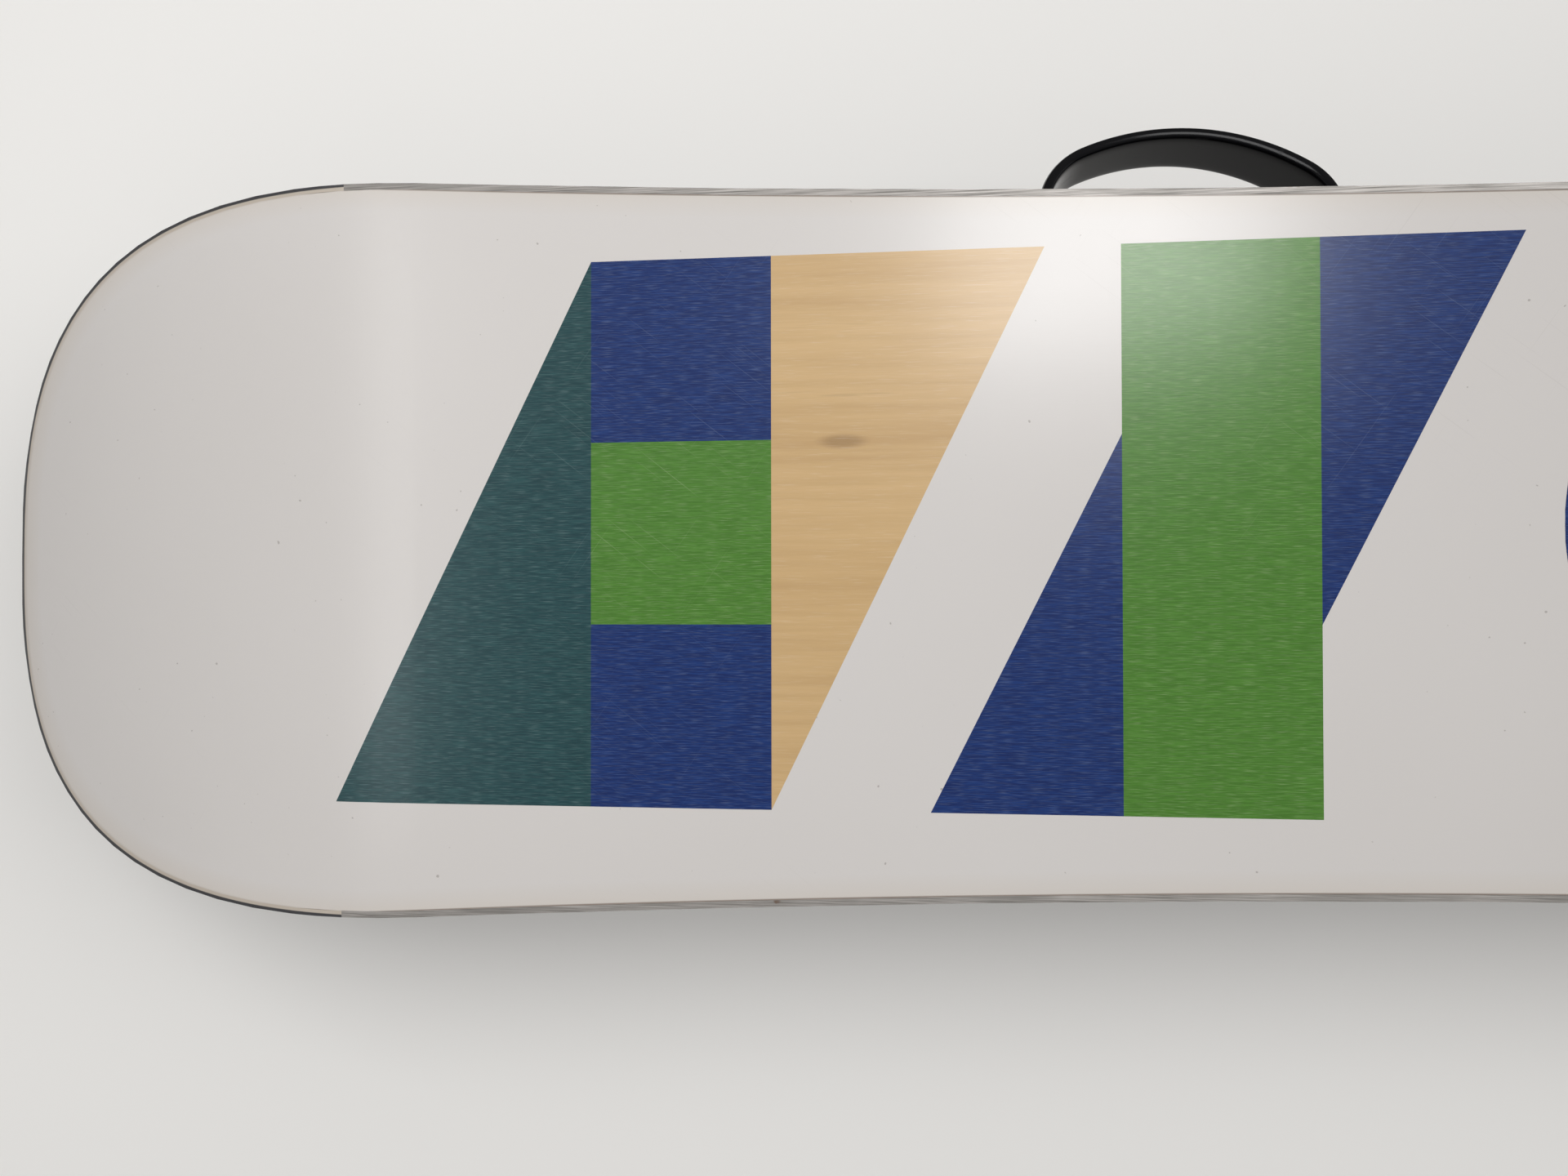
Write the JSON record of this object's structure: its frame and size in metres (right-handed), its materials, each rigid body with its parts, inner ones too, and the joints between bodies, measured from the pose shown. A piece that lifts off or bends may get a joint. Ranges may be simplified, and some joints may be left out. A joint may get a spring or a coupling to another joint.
{
  "type": "snowboard with bindings",
  "caption": "Snowboard lying base up on two strap bindings with folded highbacks, with a studded stomp pad on its topsheet.",
  "frame": {"origin": "middle of the running base, on its face", "axes": "+X along the board to the tail, +Y to the heel edge, +Z out of the running base"},
  "size_m": [1.568, 0.3218, 0.1217],
  "materials": {
    "white_base": "sintered polyethylene, waxed",
    "blue_base": "dyed polyethylene",
    "green_base": "dyed polyethylene",
    "teal_base": "dyed polyethylene",
    "wood_window": "clear polyethylene over wood veneer",
    "edge_steel": "ground steel",
    "laminate": "glass fibre in epoxy",
    "core_wood": "laminated wood strips",
    "sidewall": "machined plastic",
    "tip_plastic": "moulded plastic",
    "topsheet": "satin topsheet",
    "insert_steel": "stainless",
    "adhesive": "foam tape",
    "stomp_rubber": "moulded rubber",
    "baseplate_nylon": "moulded",
    "disc_nylon": "moulded",
    "bolt_steel": "zinc plated",
    "foam": "closed-cell foam",
    "loop_gloss": "glossy black",
    "highback_nylon": "moulded satin",
    "liner_foam": "padded foam",
    "pedal_rubber": "ribbed",
    "strap_padding": "padded synthetic leather",
    "toe_cap": "moulded cap",
    "buckle_alloy": "anodised dark",
    "lever_alloy": "satin",
    "release_steel": "stamped",
    "ladder_plastic": "flexible"
  },
  "bodies": {
    "board": {"base_sheet": "white_base", "base_inlay_blue": "blue_base", "base_inlay_green": "green_base", "base_inlay_teal": "teal_base", "base_window": "wood_window", "steel_edges": "edge_steel", "lower_laminate": "laminate", "wood_core": "core_wood", "sidewalls": "sidewall", "tip_spacers": "tip_plastic", "upper_laminate": "laminate", "topsheet": "topsheet", "threaded_inserts": "insert_steel", "stomp_pad_adhesive": "adhesive", "stomp_pad": "stomp_rubber", "rear_baseplate": "baseplate_nylon", "rear_disc": "disc_nylon", "rear_disc_screws": "bolt_steel", "rear_footbed": "foam", "rear_heel_loop": "loop_gloss", "rear_loop_bolts": "bolt_steel", "rear_pivot_bolts": "bolt_steel", "rear_strap_bolts": "bolt_steel", "front_baseplate": "baseplate_nylon", "front_disc": "disc_nylon", "front_disc_screws": "bolt_steel", "front_footbed": "foam", "front_heel_loop": "loop_gloss", "front_loop_bolts": "bolt_steel", "front_pivot_bolts": "bolt_steel", "front_strap_bolts": "bolt_steel"},
    "rear_highback": {"rear_highback": "highback_nylon", "rear_highback_liner": "liner_foam"},
    "rear_lean_block": {"rear_lean_block": "baseplate_nylon"},
    "rear_gas_pedal": {"rear_gas_pedal": "pedal_rubber"},
    "rear_ankle_strap": {"rear_ankle_strap": "strap_padding", "rear_ankle_buckle": "buckle_alloy"},
    "rear_ankle_ladder": {"rear_ankle_ladder": "ladder_plastic"},
    "rear_ankle_lever": {"rear_ankle_lever": "lever_alloy"},
    "rear_ankle_release": {"rear_ankle_release": "release_steel"},
    "rear_toe_strap": {"rear_toe_strap": "toe_cap", "rear_toe_ladder": "ladder_plastic", "rear_toe_buckle": "buckle_alloy"},
    "rear_toe_lever": {"rear_toe_lever": "lever_alloy"},
    "rear_toe_release": {"rear_toe_release": "release_steel"},
    "front_highback": {"front_highback": "highback_nylon", "front_highback_liner": "liner_foam"},
    "front_lean_block": {"front_lean_block": "baseplate_nylon"},
    "front_gas_pedal": {"front_gas_pedal": "pedal_rubber"},
    "front_ankle_strap": {"front_ankle_strap": "strap_padding", "front_ankle_buckle": "buckle_alloy"},
    "front_ankle_ladder": {"front_ankle_ladder": "ladder_plastic"},
    "front_ankle_lever": {"front_ankle_lever": "lever_alloy"},
    "front_ankle_release": {"front_ankle_release": "release_steel"},
    "front_toe_strap": {"front_toe_strap": "toe_cap", "front_toe_ladder": "ladder_plastic", "front_toe_buckle": "buckle_alloy"},
    "front_toe_lever": {"front_toe_lever": "lever_alloy"},
    "front_toe_release": {"front_toe_release": "release_steel"}
  },
  "joints": [
    {"name": "rear_highback_fold", "type": "hinge", "parent": "board", "child": "rear_highback", "pos_m": [0.26892, 0.10542, -0.048], "axis": [0.9945, 0.1045, 0], "range_deg": [0, 78.01]},
    {"name": "rear_lean_block_slide", "type": "slide", "parent": "rear_highback", "child": "rear_lean_block", "axis": [0.1044, -0.9932, -0.0522], "range_m": [0, 0.016]},
    {"name": "rear_gas_pedal_slide", "type": "slide", "parent": "board", "child": "rear_gas_pedal", "axis": [0.1045, -0.9945, 0], "range_m": [0, 0.008]},
    {"name": "rear_ankle_strap_swing", "type": "hinge", "parent": "board", "child": "rear_ankle_strap", "pos_m": [0.33322, 0.08201, -0.044], "axis": [0.9945, 0.1045, 0], "range_deg": [-10, 85]},
    {"name": "rear_ankle_ladder_swing", "type": "hinge", "parent": "board", "child": "rear_ankle_ladder", "pos_m": [0.21089, 0.06915, -0.044], "axis": [0.9945, 0.1045, 0], "range_deg": [-10, 85]},
    {"name": "rear_ankle_lever_lift", "type": "hinge", "parent": "rear_ankle_strap", "child": "rear_ankle_lever", "pos_m": [0.37058, -0.01106, -0.06985], "axis": [0.0271, -0.2574, 0.9659], "range_deg": [0, 75], "stiffness_Nm_per_rad": 0.05, "springref_deg": -20.05},
    {"name": "rear_ankle_release_lift", "type": "hinge", "parent": "rear_ankle_strap", "child": "rear_ankle_release", "pos_m": [0.37514, -0.02891, -0.07473], "axis": [0.0271, -0.2574, 0.9659], "range_deg": [0, 9], "stiffness_Nm_per_rad": 0.03, "springref_deg": -20.05},
    {"name": "rear_toe_strap_swing", "type": "hinge", "parent": "board", "child": "rear_toe_strap", "pos_m": [0.28815, -0.07757, -0.025], "axis": [0.9945, 0.1045, 0], "range_deg": [-18, 12]},
    {"name": "rear_toe_lever_lift", "type": "hinge", "parent": "rear_toe_strap", "child": "rear_toe_lever", "pos_m": [0.35889, -0.07993, -0.04911], "axis": [0.0969, -0.9221, 0.3746], "range_deg": [0, 75], "stiffness_Nm_per_rad": 0.05, "springref_deg": -20.05},
    {"name": "rear_toe_release_lift", "type": "hinge", "parent": "rear_toe_strap", "child": "rear_toe_release", "pos_m": [0.35804, -0.08718, -0.06672], "axis": [0.0969, -0.9221, 0.3746], "range_deg": [0, 9], "stiffness_Nm_per_rad": 0.03, "springref_deg": -20.05},
    {"name": "front_highback_fold", "type": "hinge", "parent": "board", "child": "front_highback", "pos_m": [-0.26892, 0.10542, -0.048], "axis": [0.9945, -0.1045, 0], "range_deg": [0, 78.01]},
    {"name": "front_lean_block_slide", "type": "slide", "parent": "front_highback", "child": "front_lean_block", "axis": [-0.1044, -0.9932, -0.0522], "range_m": [0, 0.016]},
    {"name": "front_gas_pedal_slide", "type": "slide", "parent": "board", "child": "front_gas_pedal", "axis": [-0.1045, -0.9945, 0], "range_m": [0, 0.008]},
    {"name": "front_ankle_strap_swing", "type": "hinge", "parent": "board", "child": "front_ankle_strap", "pos_m": [-0.33322, 0.08201, -0.044], "axis": [0.9945, -0.1045, 0], "range_deg": [-10, 85]},
    {"name": "front_ankle_ladder_swing", "type": "hinge", "parent": "board", "child": "front_ankle_ladder", "pos_m": [-0.21089, 0.06915, -0.044], "axis": [0.9945, -0.1045, 0], "range_deg": [-10, 85]},
    {"name": "front_ankle_lever_lift", "type": "hinge", "parent": "front_ankle_strap", "child": "front_ankle_lever", "pos_m": [-0.37058, -0.01106, -0.06985], "axis": [0.0271, 0.2574, -0.9659], "range_deg": [0, 75], "stiffness_Nm_per_rad": 0.05, "springref_deg": -20.05},
    {"name": "front_ankle_release_lift", "type": "hinge", "parent": "front_ankle_strap", "child": "front_ankle_release", "pos_m": [-0.37514, -0.02891, -0.07473], "axis": [0.0271, 0.2574, -0.9659], "range_deg": [0, 9], "stiffness_Nm_per_rad": 0.03, "springref_deg": -20.05},
    {"name": "front_toe_strap_swing", "type": "hinge", "parent": "board", "child": "front_toe_strap", "pos_m": [-0.28815, -0.07757, -0.025], "axis": [0.9945, -0.1045, 0], "range_deg": [-18, 12]},
    {"name": "front_toe_lever_lift", "type": "hinge", "parent": "front_toe_strap", "child": "front_toe_lever", "pos_m": [-0.35889, -0.07993, -0.04911], "axis": [0.0969, 0.9221, -0.3746], "range_deg": [0, 75], "stiffness_Nm_per_rad": 0.05, "springref_deg": -20.05},
    {"name": "front_toe_release_lift", "type": "hinge", "parent": "front_toe_strap", "child": "front_toe_release", "pos_m": [-0.35804, -0.08718, -0.06672], "axis": [0.0969, 0.9221, -0.3746], "range_deg": [0, 9], "stiffness_Nm_per_rad": 0.03, "springref_deg": -20.05}
  ]
}
